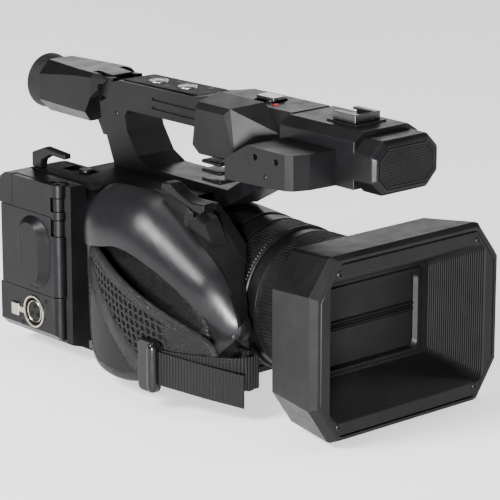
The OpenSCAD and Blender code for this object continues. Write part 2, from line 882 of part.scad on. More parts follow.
module screws() {
  color([0.25, 0.25, 0.26]) {
    for (x = [-59.3, 59.3], z = [13.8, 109.8])
      translate([x, -hood_front + 0.2, z]) rotate([-90, 0, 0]) cylinder(r = 2.3, h = 0.8);
    for (x = [-38, 38], y = [20, 130]) translate([x, y, 0.4]) cylinder(r = 3, h = 0.8);
  }
}

module shutter_leaf(z0, z1) {
  translate([-47, -108.3, z0]) difference() {
    cube([94, 2, z1 - z0]);
    translate([-1, -0.01, 3]) cube([96, 0.5, 1]);
  }
}

module shutter_upper() {
  color([0.02, 0.02, 0.022]) shutter_leaf(62.6, 88.3);
}

module shutter_lower() {
  color([0.02, 0.02, 0.022]) shutter_leaf(34.3, 62.2);
}

module shutter_lever() {
  color([0.1, 0.1, 0.11]) translate([0, -118, lens_z]) {
    translate([68, 0, 0]) rotate([0, 90, 0]) cylinder(r = 3, h = 10);
    translate([78, 0, 0]) rotate([0, 90, 0]) cylinder(r = 9, h = 2.4);
    translate([80.4, -2, -9]) cube([3, 4, 18]);
  }
}

// ---- lens ----

module lens_barrel() {
  color([0.03, 0.03, 0.032]) {
    lens_ring(-case_front, hood_rear - 1, tube_r, tube_r - 2);
    lens_ring(48.5, 56.5, 46, tube_r);
    lens_ring(81.5, 101, 46, tube_r);
    lens_ring(98, hood_rear - 0, 46.5, tube_r - 4);
  }
}

module front_lens() {
  color([0.2, 0.25, 0.3]) {
    on_lens(92) cylinder(r = tube_r - 2, h = 4, $fn = 96);
    on_lens(40) difference() {
      cylinder(r = tube_r - 2, h = 3, $fn = 96);
      translate([0, 0, -1]) cylinder(r = 30, h = 6);
    }
  }
}

module inner_lenses() {
  color([0.2, 0.25, 0.3]) {
    on_lens(40) cylinder(r = 30, h = 3);
    on_lens(10) cylinder(r = 22, h = 8);
    on_lens(-2) cylinder(r = 16, h = 8);
  }
}

module focus_ring() {
  color([0.03, 0.03, 0.03]) lens_ring(57, 81, focus_r, tube_r + run);
}

module zoom_ring() {
  color([0.03, 0.03, 0.03]) lens_ring(28, 48, zoom_r, tube_r + run);
}

module iris_ring() {
  color([0.03, 0.03, 0.03]) lens_ring(13.6, 27.4, 48.5, tube_r + run);
}

base_plate();
tripod_insert();
inner_frame();
left_case();
right_case();
front_case();
rear_case();
top_deck();
grip_cover();
grip_front_cover();
grip_pad();
strap_lugs();
strap_pad();
strap_webbing();
strap_buckle();
terminal_block();
sockets();
door_hinge_pin();
main_board();
handle_frame();
handle_top_cover();
handle_front();
cold_shoe();
mic_housing();
mic_grille();
xlr_block();
mic_holder_box();
cable_clamps();
evf_bracket();
hood_shell();
hood_baffle();
screws();
lens_barrel();
front_lens();
inner_lenses();
sensor_board();
shutter_upper();
shutter_lower();
shutter_lever();
focus_ring();
zoom_ring();
iris_ring();
grip_zoom_rocker();
grip_rec_button();
terminal_door_upper();
terminal_door_lower();
xlr_release_tab();
battery_pack();
battery_release();
card_door();
lcd_panel();
evf_body();
evf_eyecup();
evf_optics();
diopter_dial();
handle_rec_button();
handle_user_button();
handle_zoom_rocker();
menu_dial();
nd_switch();
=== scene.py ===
import json
import math

import bmesh
import bpy
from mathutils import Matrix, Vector


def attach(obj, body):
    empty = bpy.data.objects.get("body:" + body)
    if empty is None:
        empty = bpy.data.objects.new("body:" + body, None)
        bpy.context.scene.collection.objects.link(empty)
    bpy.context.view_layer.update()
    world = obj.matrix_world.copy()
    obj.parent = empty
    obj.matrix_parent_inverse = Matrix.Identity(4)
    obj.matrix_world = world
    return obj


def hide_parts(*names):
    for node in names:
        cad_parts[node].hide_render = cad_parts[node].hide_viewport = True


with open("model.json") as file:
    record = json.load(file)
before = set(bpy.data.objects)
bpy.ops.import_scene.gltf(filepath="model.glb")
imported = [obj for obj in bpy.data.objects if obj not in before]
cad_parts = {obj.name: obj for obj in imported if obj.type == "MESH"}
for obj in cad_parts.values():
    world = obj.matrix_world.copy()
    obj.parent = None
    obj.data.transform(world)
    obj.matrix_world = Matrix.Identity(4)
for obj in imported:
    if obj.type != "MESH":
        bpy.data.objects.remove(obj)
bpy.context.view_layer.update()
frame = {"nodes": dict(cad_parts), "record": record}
record = frame["record"]
BODY_OF = {n: b for b, ns in record["behaviour"]["bodies"].items() for n in ns}
MM = 0.001
LENS_Z = 61.5


# ---------------------------------------------------------------- materials

class Nodes:
    """A material's node tree, built with short calls."""

    def __init__(self, name):
        self.mat = bpy.data.materials.new(name)
        self.mat.use_nodes = True
        self.tree = self.mat.node_tree
        self.shader = self.tree.nodes["Principled BSDF"]
        self.place = self.tree.nodes.new("ShaderNodeTexCoord")

    def add(self, kind, **values):
        node = self.tree.nodes.new(kind)
        for key, value in values.items():
            if key in node.inputs:
                node.inputs[key].default_value = value
            else:
                setattr(node, key, value)
        return node

    def link(self, a, b):
        self.tree.links.new(a, b)

    def noise(self, scale, detail=3.0, rough=0.55, vector=None):
        node = self.add("ShaderNodeTexNoise", Scale=scale, Detail=detail, Roughness=rough)
        self.link(vector or self.place.outputs["Object"], node.inputs["Vector"])
        return node.outputs["Fac"]

    def spread(self, value, low, high, start=0.3, end=0.7):
        node = self.add("ShaderNodeMapRange")
        for key, number in (("From Min", start), ("From Max", end), ("To Min", low), ("To Max", high)):
            node.inputs[key].default_value = number
        self.link(value, node.inputs["Value"])
        return node.outputs["Result"]

    def between(self, value, dark, light):
        node = self.add("ShaderNodeMix", data_type="RGBA")
        node.inputs[6].default_value = (*dark, 1)
        node.inputs[7].default_value = (*light, 1)
        self.link(value, node.inputs[0])
        return node.outputs[2]

    def math(self, operation, a, b):
        node = self.add("ShaderNodeMath", operation=operation)
        for i, value in enumerate((a, b)):
            if isinstance(value, (int, float)):
                node.inputs[i].default_value = value
            else:
                self.link(value, node.inputs[i])
        return node.outputs[0]

    def bump(self, height, strength, distance, before=None):
        node = self.add("ShaderNodeBump", Strength=strength, Distance=distance)
        self.link(height, node.inputs["Height"])
        if before:
            self.link(before, node.inputs["Normal"])
        return node.outputs["Normal"]


def plastic(name, colour, rough, grain=0.12, grain_scale=2600.0, metallic=0.0, blotch=0.18, gloss=0.15):
    """Moulded or painted surface: fine grain, slight handling marks in colour and gloss."""
    n = Nodes(name)
    wear = n.noise(34.0, 4.0)
    dark = tuple(c * (1 - blotch) for c in colour)
    light = tuple(min(1, c * (1 + blotch) + 0.001) for c in colour)
    n.link(n.between(n.spread(wear, 0, 1), dark, light), n.shader.inputs["Base Color"])
    n.link(n.spread(n.noise(90.0, 5.0), rough - 0.05, rough + 0.06), n.shader.inputs["Roughness"])
    fine = n.noise(grain_scale, 2.0, 0.6)
    n.link(n.bump(fine, grain, 0.00012), n.shader.inputs["Normal"])
    n.shader.inputs["Metallic"].default_value = metallic
    n.shader.inputs["Specular IOR Level"].default_value = gloss
    return n.mat


def metal(name, colour, rough):
    """Plated metal with faint brushing and small stains."""
    n = Nodes(name)
    mapping = n.add("ShaderNodeMapping")
    mapping.inputs["Scale"].default_value = (1, 60, 1)
    n.link(n.place.outputs["Object"], mapping.inputs["Vector"])
    brushed = n.noise(420.0, 3.0, vector=mapping.outputs[0])
    n.link(n.spread(brushed, rough - 0.06, rough + 0.1), n.shader.inputs["Roughness"])
    dark = tuple(c * 0.8 for c in colour)
    n.link(n.between(n.spread(n.noise(160.0), 0, 1), dark, colour), n.shader.inputs["Base Color"])
    n.link(n.bump(brushed, 0.05, 0.0001), n.shader.inputs["Normal"])
    n.shader.inputs["Metallic"].default_value = 1.0
    return n.mat


def rubber(name, colour, rough=0.62):
    """Matt rubber with uneven sheen."""
    n = Nodes(name)
    n.link(n.between(n.spread(n.noise(60.0), 0, 1), tuple(c * 0.7 for c in colour), colour),
           n.shader.inputs["Base Color"])
    n.link(n.spread(n.noise(240.0), rough - 0.06, rough + 0.08), n.shader.inputs["Roughness"])
    n.link(n.bump(n.noise(1500.0, 2.0), 0.2, 0.00012), n.shader.inputs["Normal"])
    n.shader.inputs["Specular IOR Level"].default_value = 0.25
    return n.mat


def leather(name, colour, rough, cell):
    """Pebbled leather: small rounded cells, with painted shade darkening the creases between them."""
    n = Nodes(name)
    cells = n.add("ShaderNodeTexVoronoi", Scale=1.0 / cell, Randomness=0.95)
    cells.feature = "DISTANCE_TO_EDGE"
    n.link(n.place.outputs["Object"], cells.inputs["Vector"])
    pebble_and_crease_shade = n.spread(cells.outputs["Distance"], 0, 1, 0.0, 0.22)
    # painted shade: the colour falls to about a third of its tone in the creases between the cells
    n.link(n.between(pebble_and_crease_shade, tuple(c * 0.35 for c in colour), colour), n.shader.inputs["Base Color"])
    n.link(n.spread(n.noise(120.0), rough - 0.08, rough + 0.08), n.shader.inputs["Roughness"])
    fine = n.bump(n.noise(2200.0), 0.12, 0.0001)
    n.link(n.bump(pebble_and_crease_shade, 0.65, 0.0004, fine), n.shader.inputs["Normal"])
    n.shader.inputs["Specular IOR Level"].default_value = 0.2
    return n.mat


def loop_cloth(name, colour):
    """Napped cloth: dense fuzz with a soft sheen."""
    n = Nodes(name)
    nap = n.noise(1100.0, 5.0, 0.75)
    # colour varies at random with the fuzz and is darkest in the hollows of its bump: random tone and painted
    # shade together
    n.link(n.between(n.spread(nap, 0, 1, 0.35, 0.65), tuple(c * 0.4 for c in colour), colour),
           n.shader.inputs["Base Color"])
    n.shader.inputs["Roughness"].default_value = 0.85
    n.shader.inputs["Sheen Weight"].default_value = 0.02
    n.shader.inputs["Specular IOR Level"].default_value = 0.15
    n.link(n.bump(nap, 0.6, 0.0005), n.shader.inputs["Normal"])
    return n.mat


def webbing_cloth(name):
    """Woven strap: ribs across its length, following the strap through its UV map in metres."""
    n = Nodes(name)
    rib = n.add("ShaderNodeTexWave", Scale=150.0, Distortion=0.3)
    rib.wave_type = "BANDS"
    rib.bands_direction = "X"
    n.link(n.place.outputs["UV"], rib.inputs["Vector"])
    cross = n.add("ShaderNodeTexWave", Scale=330.0, Distortion=0.4)
    cross.bands_direction = "Y"
    n.link(n.place.outputs["UV"], cross.inputs["Vector"])
    weave = n.math("MULTIPLY", rib.outputs["Fac"], n.math("ADD", cross.outputs["Fac"], 0.6))
    # painted shade: the colour darkens in the grooves of the weave, where its bump is low
    shade = n.spread(weave, 0, 1, 0.1, 1.2)
    n.link(n.between(shade, (0.0008, 0.0008, 0.0008), (0.0042, 0.0042, 0.0044)),
           n.shader.inputs["Base Color"])
    n.shader.inputs["Roughness"].default_value = 0.66
    n.shader.inputs["Specular IOR Level"].default_value = 0.2
    n.link(n.bump(weave, 0.8, 0.0006), n.shader.inputs["Normal"])
    return n.mat


def coated_glass(name, colour):
    """Dark polished glass with a clear coat."""
    n = Nodes(name)
    n.link(n.between(n.spread(n.noise(8.0), 0, 1), tuple(c * 0.5 for c in colour), colour),
           n.shader.inputs["Base Color"])
    n.shader.inputs["Roughness"].default_value = 0.04
    n.shader.inputs["IOR"].default_value = 1.6
    n.shader.inputs["Coat Weight"].default_value = 1.0
    return n.mat


SHELL = plastic("moulded_shell", (0.0022, 0.0022, 0.0026), 0.33, 0.16)
DECK = plastic("deck_plastic", (0.0022, 0.0022, 0.0025), 0.5, 0.3, 1700.0, gloss=0.06)
DOME = plastic("dome_lacquer", (0.0068, 0.0068, 0.0077), 0.33, 0.05, 3400.0,
               metallic=0.35, blotch=0.08, gloss=0.36)
FRONT = plastic("grip_front_plastic", (0.0020, 0.0020, 0.0022), 0.40, 0.14)
PAINT = plastic("texture_paint", (0.0024, 0.0024, 0.0028), 0.37, 0.34, 1900.0)
HOOD = plastic("hood_paint", (0.0024, 0.0023, 0.0023), 0.40, 0.4, 2100.0, gloss=0.17)
FLAT = plastic("anti_glare_black", (0.0022, 0.0022, 0.0022), 0.44, 0.25, 2400.0)
DOOR = plastic("door_plastic", (0.0024, 0.0024, 0.0030), 0.33, 0.2, 2000.0)
GLOSS = plastic("gloss_buckle", (0.0026, 0.0026, 0.0030), 0.24, 0.04, 2600.0, gloss=0.3)
RUBBER = rubber("soft_rubber", (0.0028, 0.0028, 0.0030))
RING = rubber("ring_rubber", (0.0026, 0.0026, 0.0028), 0.42)
GRAIN = leather("grip_leather", (0.0034, 0.0034, 0.0036), 0.5, 0.0015)
EDGE = leather("strap_leather", (0.0045, 0.0045, 0.0050), 0.38, 0.0008)
NAP = loop_cloth("strap_nap", (0.0050, 0.0050, 0.0052))
NET = loop_cloth("strap_net_thread", (0.0095, 0.0095, 0.010))
WEB = webbing_cloth("strap_webbing")
THREAD = loop_cloth("stitch_thread", (0.016, 0.016, 0.017))
SILVER = metal("satin_silver", (0.42, 0.42, 0.43), 0.28)
NICKEL = metal("warm_nickel", (0.46, 0.43, 0.36), 0.26)
STEEL = metal("dark_steel", (0.03, 0.03, 0.032), 0.38)
BLACK_STEEL = metal("shoe_steel", (0.10, 0.10, 0.105), 0.3)
INNER = metal("cast_frame", (0.45, 0.45, 0.47), 0.5)
GLASS = coated_glass("lens_glass", (0.006, 0.010, 0.016))
BOARD = plastic("solder_mask", (0.01, 0.09, 0.04), 0.4)
RED = plastic("red_mark", (0.25, 0.008, 0.007), 0.35)
# painted shade: the dullest black, put in the pin holes, at the socket's bottom, behind the grille and under
# the strap net so that these read dark
HOLE_SHADE = plastic("hole_shade_black", (0.002, 0.002, 0.002), 0.9, gloss=0.1)


# ---------------------------------------------------------------- mesh helpers

def settle(obj, bevel=0.0, angle=30.0, segments=2, sharp=40.0):
    """Applies a bevel, then shades the piece smooth with weighted normals."""
    for polygon in obj.data.polygons:
        polygon.use_smooth = True
    if bevel:
        m = obj.modifiers.new("bevel", "BEVEL")
        m.width = bevel * MM
        m.segments = segments
        m.limit_method = "ANGLE"
        m.angle_limit = math.radians(angle)
        m.use_clamp_overlap = True
    apply(obj)
    obj.data.set_sharp_from_angle(angle=math.radians(sharp))
    m = obj.modifiers.new("normals", "WEIGHTED_NORMAL")
    m.keep_sharp = True
    m.weight = 60
    apply(obj)
    return obj


def apply(obj):
    """Turns the object's modifiers into plain mesh."""
    bpy.context.view_layer.update()
    done = obj.evaluated_get(bpy.context.evaluated_depsgraph_get())
    mesh = bpy.data.meshes.new_from_object(done)
    obj.modifiers.clear()
    obj.data = mesh


def place(name, mesh, material, body, replaces=()):
    """Puts a mesh in the scene as one piece of a body."""
    mesh.materials.clear()
    mesh.materials.append(material)
    obj = bpy.data.objects.new(name, mesh)
    bpy.context.scene.collection.objects.link(obj)
    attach(obj, body)
    if replaces:
        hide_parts(*replaces)
    return obj


def new_mesh(name, points, faces):
    """A mesh from points in millimetres, with its faces turned outward."""
    mesh = bpy.data.meshes.new(name)
    mesh.from_pydata([tuple(c * MM for c in p) for p in points], [], faces)
    mesh.update()
    bm = bmesh.new()
    bm.from_mesh(mesh)
    bmesh.ops.recalc_face_normals(bm, faces=bm.faces)
    bm.to_mesh(mesh)
    bm.free()
    return mesh


def piece(name, points, faces, material, body, replaces=()):
    """A new piece from points in millimetres."""
    return place(name, new_mesh(name, points, faces), material, body, replaces)


def clean_copy(node):
    """The CAD node's mesh with joined corners and whole flat faces."""
    bm = bmesh.new()
    bm.from_mesh(frame["nodes"][node].data)
    bmesh.ops.remove_doubles(bm, verts=bm.verts, dist=3e-6)
    bmesh.ops.dissolve_limit(bm, angle_limit=math.radians(0.8), verts=bm.verts, edges=bm.edges)
    mesh = bpy.data.meshes.new(node + "_finished")
    bm.to_mesh(mesh)
    bm.free()
    return mesh


def finish_node(node, material, bevel=0.6, angle=30.0, segments=2, sharp=40.0):
    """Rounds the edges of a CAD node so that they catch the light."""
    obj = place(node + "_finished", clean_copy(node), material, BODY_OF[node], (node,))
    return settle(obj, bevel, angle, segments, sharp)


def paint_node(node, material):
    """Gives a CAD node that keeps its own mesh a material."""
    slots = frame["nodes"][node].data.materials
    slots.clear()
    slots.append(material)


def loft(rings, close_ends=True):
    """Points and faces through closed rings of equal length."""
    points, faces = [], []
    count = len(rings[0])
    for ring in rings:
        points.extend(ring)
    for i in range(len(rings) - 1):
        for j in range(count):
            k = (j + 1) % count
            faces.append((i * count + j, i * count + k, (i + 1) * count + k, (i + 1) * count + j))
    if close_ends:
        faces.append(tuple(range(count)))
        faces.append(tuple((len(rings) - 1) * count + j for j in range(count))[::-1])
    return points, faces


def about_lens(profile, count, ribs):
    """Turns (ahead, radius, ribbed) points round the lens axis; ribs gives a radius change per angle step."""
    rings = []
    for ahead, radius, ribbed in profile:
        ring = []
        for j in range(count):
            a = 2 * math.pi * j / count
            r = radius + (ribs(j) if ribbed else 0)
            ring.append((r * math.cos(a), -ahead, LENS_Z + r * math.sin(a)))
        rings.append(ring)
    rings.append(rings[0])
    return loft(rings, close_ends=False)


def turned(profile, centre, axis, count=48):
    """Turns (along, radius) points round an axis through centre; a zero radius closes the end."""
    axis = Vector(axis).normalized()
    side = axis.orthogonal().normalized()
    other = axis.cross(side)
    rings = []
    for along, radius in profile:
        ring = []
        for j in range(count):
            a = 2 * math.pi * j / count
            spoke = side * math.cos(a) + other * math.sin(a)
            ring.append(tuple(Vector(centre) + axis * along + spoke * max(radius, 0.01)))
        rings.append(ring)
    return loft(rings)


def rounded(points, closed=True):
    """Cuts the corners of a flat outline again and again until it is smooth."""
    keep = 0.25
    for _ in range(3):
        new = []
        n = len(points)
        for i in range(n if closed else n - 1):
            a, b = points[i], points[(i + 1) % n]
            new.append(tuple(a[k] * (1 - keep) + b[k] * keep for k in range(len(a))))
            new.append(tuple(a[k] * keep + b[k] * (1 - keep) for k in range(len(a))))
        if not closed:
            new[0], new[-1] = points[0], points[-1]
        points = new
    return points


def inset(outline, amount):
    """Moves a closed flat outline inward by amount."""
    area = sum(a[0] * b[1] - b[0] * a[1] for a, b in zip(outline, outline[1:] + outline[:1]))
    sign = 1 if area > 0 else -1
    result = []
    n = len(outline)
    for i in range(n):
        a, b, c = outline[i - 1], outline[i], outline[(i + 1) % n]
        d = Vector((c[0] - a[0], c[1] - a[1]))
        if d.length < 1e-6:
            continue
        d.normalize()
        result.append((b[0] - d.y * amount * sign, b[1] + d.x * amount * sign))
    return result


def tube(path, radius_a, radius_b, up, count):
    """Sweeps an ellipse along a closed path; up gives the direction of radius_b at each point."""
    rings = []
    n = len(path)
    for i, p in enumerate(path):
        p = Vector(p)
        along = (Vector(path[(i + 1) % n]) - Vector(path[i - 1])).normalized()
        u = Vector(up(p))
        u = (u - along * u.dot(along)).normalized()
        v = along.cross(u)
        rings.append([tuple(p + v * radius_a * math.cos(2 * math.pi * j / count)
                            + u * radius_b * math.sin(2 * math.pi * j / count)) for j in range(count)])
    rings.append(rings[0])
    return loft(rings, close_ends=False)


# ---------------------------------------------------------------- hand grip

# the swell is the smoothed hull of these balls (centre, radius)
GRIP_BALLS = [((-52, 58, 97), 30), ((-52, 28, 97), 31), ((-56, 50, 62), 27), ((-54, -28, 72), 21),
              ((-54, -50, 55), 11), ((-54, 54, 42), 25), ((-54, -14, 38), 19)]
# (y, z) outline of the recess for the hand pad
PAD = [(92, 6), (92, 84), (72, 88), (50, 91), (38, 94.5), (22, 93.5), (4, 86.5), (-13, 79),
       (-28, 70.5), (-40, 61), (-45, 52), (-44, 40), (-36, 6)]
BALL_POINTS = 700
GOLDEN_ANGLE = 2.399963
DOME_INNER_X = -60
RECESS_X = -71


def ball_hull(balls):
    """Convex hull round a set of balls."""
    bm = bmesh.new()
    for centre, r in balls:
        for i in range(BALL_POINTS):
            z = 1 - (i + 0.5) * 2 / BALL_POINTS
            a = i * GOLDEN_ANGLE
            k = math.sqrt(1 - z * z)
            bm.verts.new((
                (centre[0] + r * k * math.cos(a)) * MM,
                (centre[1] + r * k * math.sin(a)) * MM,
                (centre[2] + r * z) * MM,
            ))
    hull = bmesh.ops.convex_hull(bm, input=bm.verts)
    inner = [v for v in hull["geom_interior"] if isinstance(v, bmesh.types.BMVert)]
    bmesh.ops.delete(bm, geom=inner, context="VERTS")
    return bm


def prism(outline, x0, x1):
    """Closed prism along X from a (y, z) outline, as a scratch object."""
    points, faces = loft([[(x, y, z) for y, z in outline] for x in (x0, x1)])
    obj = bpy.data.objects.new("cutter", new_mesh("cutter", points, faces))
    bpy.context.scene.collection.objects.link(obj)
    return obj


def cut(obj, cutter):
    """Takes the cutter's volume away from a piece and removes the cutter."""
    m = obj.modifiers.new("cut", "BOOLEAN")
    m.object = cutter
    m.operation = "DIFFERENCE"
    m.solver = "EXACT"
    apply(obj)
    bpy.data.objects.remove(cutter)


def slice_off(obj, x):
    """Takes away everything on the +X side of the plane at x and closes the flat cut."""
    bm = bmesh.new()
    bm.from_mesh(obj.data)
    bmesh.ops.bisect_plane(bm, geom=bm.verts[:] + bm.edges[:] + bm.faces[:], dist=1e-6,
                           plane_co=(x * MM, 0, 0), plane_no=(1, 0, 0), clear_outer=True)
    bmesh.ops.holes_fill(bm, edges=[e for e in bm.edges if e.is_boundary])
    bmesh.ops.recalc_face_normals(bm, faces=bm.faces)
    bm.to_mesh(obj.data)
    bm.free()


def smooth_volume(obj, voxel, rounds, swell):
    """Evens out a volume; swell gives back what the smoothing takes off."""
    m = obj.modifiers.new("remesh", "REMESH")
    m.mode = "VOXEL"
    m.voxel_size = voxel * MM
    m.use_smooth_shade = True
    m = obj.modifiers.new("smooth", "SMOOTH")
    m.iterations = rounds
    m.factor = 0.5
    m = obj.modifiers.new("swell", "DISPLACE")
    m.strength = swell * MM
    m.mid_level = 0
    apply(obj)


dome_mesh = bpy.data.meshes.new("grip_dome")
bm = ball_hull(GRIP_BALLS)
bm.to_mesh(dome_mesh)
bm.free()
dome = place("grip_dome", dome_mesh, DOME, "chassis", ("grip_cover",))
smooth_volume(dome, voxel=2.2, rounds=84, swell=2.6)
pad_line = rounded(PAD[2:12], closed=False)
pad_outline = [PAD[0], PAD[1]] + pad_line + [PAD[12]]
slice_off(dome, DOME_INNER_X)
cut(dome, prism(pad_outline, -130, RECESS_X))
settle(dome, sharp=32)

finish_node("grip_front_cover", FRONT, 0.7, 22, 3)

# leather hand pad under the crease
pad_edge = inset(rounded(PAD), 2.0)
flat = [p for p in pad_edge if p[0] < 74 and p[1] > 22]
pad_points, pad_faces = loft([
    [(RECESS_X, y, z) for y, z in flat],
    [(-72.4, y, z) for y, z in flat],
    [(-73.4, y, z) for y, z in inset(flat, 1.6)],
    [(-73.6, y, z) for y, z in inset(flat, 5.0)],
])
pad = piece("grip_pad_leather", pad_points, pad_faces, GRAIN, "chassis", ("grip_pad",))
settle(pad, sharp=70)

finish_node("grip_zoom_rocker", SHELL, 1.4, 25, 3)
finish_node("grip_rec_button", SHELL, 0.6)


# ---------------------------------------------------------------- hand strap

# the strap bows round an upright axis through the (x, y) point BAND_MID
BAND_MID, BAND_R = (27, 10), 120
# (y, z) outline of the strap
STRAP = [(66, 12), (77, 40), (78, 62), (76, 80), (68, 87), (56, 89.5), (32, 81), (8, 72), (-16, 63),
         (-40, 53), (-52, 45), (-54, 32), (-44, 26), (-20, 24), (0, 14), (30, 10)]


def on_band(y, z, depth):
    """A point on the bowed strap; depth is measured inward from its outer face."""
    r = BAND_R - depth
    d = y - BAND_MID[1]
    return (BAND_MID[0] - math.sqrt(r * r - d * d), y, z)


def band_out(p):
    """Outward direction of the bowed strap at a point."""
    return (p.x - BAND_MID[0], p.y - BAND_MID[1], 0)


def sheet_in(outline, step):
    """Flat face cut into a grid, as (y, z) points and faces."""
    bm = bmesh.new()
    bm.faces.new([bm.verts.new((0, y, z)) for y, z in outline])
    for axis, low, high in ((1, -60, 90), (2, 0, 100)):
        k = low
        while k < high:
            normal = Vector((0, 0, 0))
            normal[axis] = 1
            bmesh.ops.bisect_plane(bm, geom=bm.verts[:] + bm.edges[:] + bm.faces[:],
                                   plane_co=normal * k, plane_no=normal)
            k += step
    bm.verts.index_update()
    points = [(v.co.y, v.co.z) for v in bm.verts]
    faces = [tuple(v.index for v in f.verts) for f in bm.faces]
    bm.free()
    return points, faces


def two_sided(front, back, faces):
    """Points and faces of a closed sheet from its front, its back and the faces of its front."""
    count = len(front)
    edges = {edge: None for f in faces for edge in zip(f, f[1:] + f[:1])}
    closed = faces + [tuple(i + count for i in reversed(f)) for f in faces]
    closed += [(b, a, a + count, b + count) for a, b in edges if (b, a) not in edges]
    return front + back, closed


outline = rounded(STRAP)
grid, grid_faces = sheet_in(inset(outline, 1.2), 3.0)


def puff(y, z):
    """How far the knitted centre stands out between its edges."""
    near = min(math.hypot(y - a, z - b) for a, b in outline[::2])
    return min(1.0, near / 16.0)


front_face = [on_band(y, z, 2.0 - 1.0 * puff(y, z)) for y, z in grid]
back_face = [on_band(y, z, 3.6) for y, z in grid]
points, faces = two_sided(front_face, back_face, grid_faces)
# the knitted padding is black, and takes the hole-shade black as painted shade seen through the net's holes
knit = piece("strap_knit", points, faces, HOLE_SHADE, "chassis", ("strap_pad",))
settle(knit, sharp=60)


def within(p, shape, margin):
    """Whether a flat point lies inside a closed outline, at least margin from its edge."""
    hit = False
    for a, b in zip(shape, shape[1:] + shape[:1]):
        if (a[1] > p[1]) != (b[1] > p[1]):
            crossing = (b[0] - a[0]) * (p[1] - a[1]) / (b[1] - a[1]) + a[0]
            hit = hit != (p[0] < crossing)
    return hit and min(math.dist(p, a) for a in shape) > margin


# open knitted net over the padding: strands crossing on two slants
NET_PITCH = 4.6
STRAND_STEP = 1.6
STRAND_SIDES = 6
NET_MID = Vector((10, 50))
NET_MARGIN = 4.0
points, faces = [], []
for slant in (math.radians(12), math.radians(78)):
    along = Vector((math.cos(slant), math.sin(slant)))
    across = Vector((-along.y, along.x))
    for i in range(-40, 41):
        ring_before = None
        for k in range(-90, 91):
            wave = 0.45 * math.cos(2 * math.pi * k * STRAND_STEP / NET_PITCH)
            y, z = NET_MID + across * (i * NET_PITCH) + along * (k * STRAND_STEP) + across * wave
            if not within((y, z), outline, NET_MARGIN):
                ring_before = None
                continue
            depth = 0.9 - 1.0 * puff(y, z)
            ring_now = len(points)
            for m in range(STRAND_SIDES):
                a = 2 * math.pi * m / STRAND_SIDES
                w, d = 0.85 * math.cos(a), 0.55 * math.sin(a)
                points.append(on_band(y + across.x * w, z + across.y * w, depth - d))
            if ring_before is not None:
                for m in range(STRAND_SIDES):
                    n = (m + 1) % STRAND_SIDES
                    faces.append((ring_before + m, ring_before + n, ring_now + n, ring_now + m))
            ring_before = ring_now
net = piece("strap_net", points, faces, NET, "chassis")
settle(net, sharp=80)

band_path = [on_band(y, z, 1.2) for y, z in inset(outline, 3.0)]
points, faces = tube(band_path, radius_a=4.4, radius_b=2.5, up=band_out, count=12)
settle(piece("strap_edge", points, faces, EDGE, "chassis"), sharp=80)


def stitches(name, path, length, gap, lift):
    """Short rounded threads along a closed path."""
    points, faces = [], []
    total, place_at = 0.0, 0.0
    for i in range(len(path)):
        a, b = Vector(path[i]), Vector(path[(i + 1) % len(path)])
        span = (b - a).length
        if span < 1e-6:
            continue
        along = (b - a) / span
        while place_at < total + span:
            p = a + along * (place_at - total)
            u = Vector(band_out(p)).normalized()
            v = along.cross(u)
            base = len(points)
            for s, k in ((-0.5, 0.35), (-0.32, 1), (0.32, 1), (0.5, 0.35)):
                for da, db in ((-0.38, 0), (0, 0.42), (0.38, 0), (0, -0.3)):
                    points.append(tuple(p + along * length * s + v * da * k + u * (lift + db * k)))
            for s in range(3):
                for j in range(4):
                    k = (j + 1) % 4
                    low = base + s * 4
                    faces.append((low + j, low + k, low + 4 + k, low + 4 + j))
            faces.append((base, base + 1, base + 2, base + 3))
            faces.append((base + 15, base + 14, base + 13, base + 12))
            place_at += length + gap
        total += span
    return settle(piece(name, points, faces, THREAD, "chassis"), sharp=80)


stitch_path = [on_band(y, z, 1.2) for y, z in inset(outline, 4.6)]
stitches("strap_stitches", stitch_path, length=2.2, gap=1.5, lift=2.15)


def patch_piece(name, shape, material, low, high):
    """Cloth patch sewn on the strap, between two depths on the band."""
    edge = rounded(shape)
    grid, grid_faces = sheet_in(edge, 4.0)
    outer = []
    for y, z in grid:
        near = min(1.0, min(math.dist((y, z), a) for a in edge) / 2.0)
        outer.append(on_band(y, z, low + (high - low) * math.sqrt(near)))
    under = [on_band(y, z, low + 0.6) for y, z in grid]
    points, faces = two_sided(outer, under, grid_faces)
    return settle(piece(name, points, faces, material, "chassis"), sharp=60)


NAP_PATCH = [(64, 14), (72, 38), (73, 56), (52, 58), (36, 46), (20, 34), (2, 22), (-2, 16), (8, 12), (30, 11)]
SMOOTH_BAND = [(74, 62), (76, 76), (66, 80), (48, 66), (30, 52), (12, 38), (-6, 27), (-8, 17), (4, 17),
               (20, 30), (38, 43), (56, 55)]
TAB = [(-24, 60), (-30, 58), (-46, 50), (-50, 46), (-49, 38), (-40, 34), (-26, 34), (-20, 40), (-19, 52)]
patch_piece("strap_nap_patch", NAP_PATCH, NAP, 0.4, -0.9)
patch_piece("strap_smooth_band", SMOOTH_BAND, EDGE, -0.4, -1.5)
patch_piece("strap_tab", TAB, EDGE, -0.2, -1.3)

# (height, offset from the middle line) round the webbing's section
WEB_SECTION = [(17.6, -0.35), (17.9, -0.75), (28.5, -0.8), (39.1, -0.75), (39.4, -0.35), (39.4, 0.35),
               (39.1, 0.75), (28.5, 0.8), (17.9, 0.75), (17.6, 0.35)]


